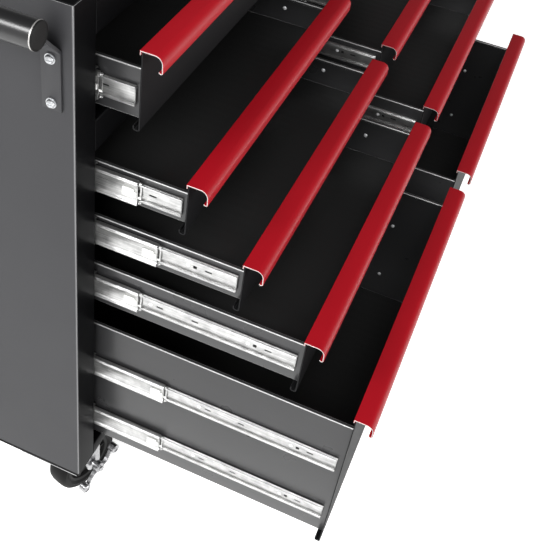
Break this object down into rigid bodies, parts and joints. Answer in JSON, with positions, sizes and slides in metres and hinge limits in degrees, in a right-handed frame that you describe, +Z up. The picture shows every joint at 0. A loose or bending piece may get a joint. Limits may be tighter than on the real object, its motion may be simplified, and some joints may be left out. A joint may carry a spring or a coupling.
{
  "type": "rolling tool chest",
  "caption": "Folded steel rolling tool chest with full-width top drawer, two banks of drawers on ball-bearing slides, a push handle and casters.",
  "frame": {"origin": "on the floor, under the middle of the box that the chest fills with its drawers open as stored", "axes": "+X along the cabinet from the push handle to the other side, +Y from the drawer fronts to the back, +Z up"},
  "size_m": [1.3266, 1.0292, 1.0165],
  "materials": {
    "side_paint": "charcoal powder coat, satin",
    "gloss_paint": "black powder coat, gloss",
    "tray_paint": "dark grey powder coat, semi-gloss",
    "handle_paint": "black powder coat, gloss",
    "red_anodised": "red gloss enamel on bent sheet",
    "zinc": "bright zinc plate",
    "chrome": "polished",
    "wheel_rubber": "moulded black rubber",
    "black_plastic": "moulded, matt"
  },
  "bodies": {
    "cabinet": {"side_panel_left": "side_paint", "side_panel_right": "side_paint", "back_panel": "gloss_paint", "top_panel": "gloss_paint", "base_panel": "gloss_paint", "top_rail": "gloss_paint", "middle_rail": "gloss_paint", "bottom_rail": "gloss_paint", "centre_stile": "gloss_paint", "slide_liner_left": "gloss_paint", "slide_liner_right": "gloss_paint", "slide_liner_centre_left": "gloss_paint", "slide_liner_centre_right": "gloss_paint", "handle_tube": "handle_paint", "handle_bracket_front": "side_paint", "handle_bracket_rear": "side_paint", "handle_cap_front": "black_plastic", "handle_cap_rear": "black_plastic", "caster_front_left_plate": "zinc", "caster_rear_left_plate": "zinc", "caster_front_right_bracket": "zinc", "caster_rear_right_bracket": "zinc"},
    "drawer_top": {"drawer_top_tray": "tray_paint", "drawer_top_pull": "red_anodised"},
    "drawer_top_slide": {"drawer_top_slide_middle": "zinc"},
    "drawer_left_1": {"drawer_left_1_tray": "tray_paint", "drawer_left_1_pull": "red_anodised"},
    "drawer_left_1_slide": {"drawer_left_1_slide_middle": "zinc"},
    "drawer_right_1": {"drawer_right_1_tray": "tray_paint", "drawer_right_1_pull": "red_anodised"},
    "drawer_right_1_slide": {"drawer_right_1_slide_middle": "zinc"},
    "drawer_left_2": {"drawer_left_2_tray": "tray_paint", "drawer_left_2_pull": "red_anodised"},
    "drawer_left_2_slide": {"drawer_left_2_slide_middle": "zinc"},
    "drawer_right_2": {"drawer_right_2_tray": "tray_paint", "drawer_right_2_pull": "red_anodised"},
    "drawer_right_2_slide": {"drawer_right_2_slide_middle": "zinc"},
    "drawer_left_3": {"drawer_left_3_tray": "tray_paint", "drawer_left_3_pull": "red_anodised"},
    "drawer_left_3_slide": {"drawer_left_3_slide_middle": "zinc"},
    "drawer_right_3": {"drawer_right_3_tray": "tray_paint", "drawer_right_3_pull": "red_anodised"},
    "drawer_right_3_slide": {"drawer_right_3_slide_middle": "zinc"},
    "drawer_left_4": {"drawer_left_4_tray": "tray_paint", "drawer_left_4_pull": "red_anodised"},
    "drawer_left_4_slide": {"drawer_left_4_slide_middle_upper": "zinc", "drawer_left_4_slide_middle_lower": "zinc"},
    "drawer_right_4": {"drawer_right_4_tray": "tray_paint", "drawer_right_4_pull": "red_anodised"},
    "drawer_right_4_slide": {"drawer_right_4_slide_middle_upper": "zinc", "drawer_right_4_slide_middle_lower": "zinc"},
    "caster_front_left": {"caster_front_left_fork": "zinc"},
    "caster_front_left_wheel_set": {"caster_front_left_wheel": "wheel_rubber"},
    "caster_front_left_brake": {"caster_front_left_brake_pedal": "zinc"},
    "caster_rear_left": {"caster_rear_left_fork": "zinc"},
    "caster_rear_left_wheel_set": {"caster_rear_left_wheel": "wheel_rubber"},
    "caster_rear_left_brake": {"caster_rear_left_brake_pedal": "zinc"},
    "caster_front_right_wheel_set": {"caster_front_right_wheel": "wheel_rubber"},
    "caster_rear_right_wheel_set": {"caster_rear_right_wheel": "wheel_rubber"},
    "lock": {"lock_cylinder": "chrome"}
  },
  "joints": [
    {"name": "drawer_top_travel", "type": "slide", "parent": "cabinet", "child": "drawer_top", "axis": [0, -1, 0], "range_m": [-0.056, 0.444]},
    {"name": "drawer_top_slide_travel", "type": "slide", "parent": "cabinet", "child": "drawer_top_slide", "axis": [0, -1, 0], "range_m": [-0.028, 0.222]},
    {"name": "drawer_left_1_travel", "type": "slide", "parent": "cabinet", "child": "drawer_left_1", "axis": [0, -1, 0], "range_m": [-0.125, 0.375]},
    {"name": "drawer_left_1_slide_travel", "type": "slide", "parent": "cabinet", "child": "drawer_left_1_slide", "axis": [0, -1, 0], "range_m": [-0.0625, 0.1875]},
    {"name": "drawer_right_1_travel", "type": "slide", "parent": "cabinet", "child": "drawer_right_1", "axis": [0, -1, 0], "range_m": [-0.125, 0.375]},
    {"name": "drawer_right_1_slide_travel", "type": "slide", "parent": "cabinet", "child": "drawer_right_1_slide", "axis": [0, -1, 0], "range_m": [-0.0625, 0.1875]},
    {"name": "drawer_left_2_travel", "type": "slide", "parent": "cabinet", "child": "drawer_left_2", "axis": [0, -1, 0], "range_m": [-0.209, 0.291]},
    {"name": "drawer_left_2_slide_travel", "type": "slide", "parent": "cabinet", "child": "drawer_left_2_slide", "axis": [0, -1, 0], "range_m": [-0.1045, 0.1455]},
    {"name": "drawer_right_2_travel", "type": "slide", "parent": "cabinet", "child": "drawer_right_2", "axis": [0, -1, 0], "range_m": [-0.209, 0.291]},
    {"name": "drawer_right_2_slide_travel", "type": "slide", "parent": "cabinet", "child": "drawer_right_2_slide", "axis": [0, -1, 0], "range_m": [-0.1045, 0.1455]},
    {"name": "drawer_left_3_travel", "type": "slide", "parent": "cabinet", "child": "drawer_left_3", "axis": [0, -1, 0], "range_m": [-0.305, 0.195]},
    {"name": "drawer_left_3_slide_travel", "type": "slide", "parent": "cabinet", "child": "drawer_left_3_slide", "axis": [0, -1, 0], "range_m": [-0.1525, 0.0975]},
    {"name": "drawer_right_3_travel", "type": "slide", "parent": "cabinet", "child": "drawer_right_3", "axis": [0, -1, 0], "range_m": [-0.305, 0.195]},
    {"name": "drawer_right_3_slide_travel", "type": "slide", "parent": "cabinet", "child": "drawer_right_3_slide", "axis": [0, -1, 0], "range_m": [-0.1525, 0.0975]},
    {"name": "drawer_left_4_travel", "type": "slide", "parent": "cabinet", "child": "drawer_left_4", "axis": [0, -1, 0], "range_m": [-0.393, 0.107]},
    {"name": "drawer_left_4_slide_travel", "type": "slide", "parent": "cabinet", "child": "drawer_left_4_slide", "axis": [0, -1, 0], "range_m": [-0.1965, 0.0535]},
    {"name": "drawer_right_4_travel", "type": "slide", "parent": "cabinet", "child": "drawer_right_4", "axis": [0, -1, 0], "range_m": [-0.393, 0.107]},
    {"name": "drawer_right_4_slide_travel", "type": "slide", "parent": "cabinet", "child": "drawer_right_4_slide", "axis": [0, -1, 0], "range_m": [-0.1965, 0.0535]},
    {"name": "caster_front_left_swivel", "type": "hinge", "parent": "cabinet", "child": "caster_front_left", "pos_m": [-0.53275, -0.03835, 0.135], "axis": [0, 0, 1], "continuous": true},
    {"name": "caster_front_left_roll", "type": "hinge", "parent": "caster_front_left", "child": "caster_front_left_wheel_set", "pos_m": [-0.49991, -0.04715, 0.0625], "axis": [0.2588, 0.9659, 0], "continuous": true},
    {"name": "caster_front_left_brake_tip", "type": "hinge", "parent": "caster_front_left", "child": "caster_front_left_brake", "pos_m": [-0.51078, -0.08772, 0.0625], "axis": [0.2588, 0.9659, 0], "range_deg": [0, 14]},
    {"name": "caster_rear_left_swivel", "type": "hinge", "parent": "cabinet", "child": "caster_rear_left", "pos_m": [-0.53275, 0.45765, 0.135], "axis": [0, 0, 1], "continuous": true},
    {"name": "caster_rear_left_roll", "type": "hinge", "parent": "caster_rear_left", "child": "caster_rear_left_wheel_set", "pos_m": [-0.49991, 0.44885, 0.0625], "axis": [0.2588, 0.9659, 0], "continuous": true},
    {"name": "caster_rear_left_brake_tip", "type": "hinge", "parent": "caster_rear_left", "child": "caster_rear_left_brake", "pos_m": [-0.51078, 0.40828, 0.0625], "axis": [0.2588, 0.9659, 0], "range_deg": [0, 14]},
    {"name": "caster_front_right_roll", "type": "hinge", "parent": "cabinet", "child": "caster_front_right_wheel_set", "pos_m": [0.59525, -0.03835, 0.0625], "axis": [0, 1, 0], "continuous": true},
    {"name": "caster_rear_right_roll", "type": "hinge", "parent": "cabinet", "child": "caster_rear_right_wheel_set", "pos_m": [0.59525, 0.45765, 0.0625], "axis": [0, 1, 0], "continuous": true},
    {"name": "lock_turn", "type": "hinge", "parent": "cabinet", "child": "lock", "pos_m": [0.03575, -0.09815, 0.9775], "axis": [0, 1, 0], "range_deg": [0, 90]}
  ],
  "couplings": [
    {"joint": "drawer_top_slide_travel", "follows": "drawer_top_travel", "ratio": 0.5},
    {"joint": "drawer_left_1_slide_travel", "follows": "drawer_left_1_travel", "ratio": 0.5},
    {"joint": "drawer_right_1_slide_travel", "follows": "drawer_right_1_travel", "ratio": 0.5},
    {"joint": "drawer_left_2_slide_travel", "follows": "drawer_left_2_travel", "ratio": 0.5},
    {"joint": "drawer_right_2_slide_travel", "follows": "drawer_right_2_travel", "ratio": 0.5},
    {"joint": "drawer_left_3_slide_travel", "follows": "drawer_left_3_travel", "ratio": 0.5},
    {"joint": "drawer_right_3_slide_travel", "follows": "drawer_right_3_travel", "ratio": 0.5},
    {"joint": "drawer_left_4_slide_travel", "follows": "drawer_left_4_travel", "ratio": 0.5},
    {"joint": "drawer_right_4_slide_travel", "follows": "drawer_right_4_travel", "ratio": 0.5}
  ]
}
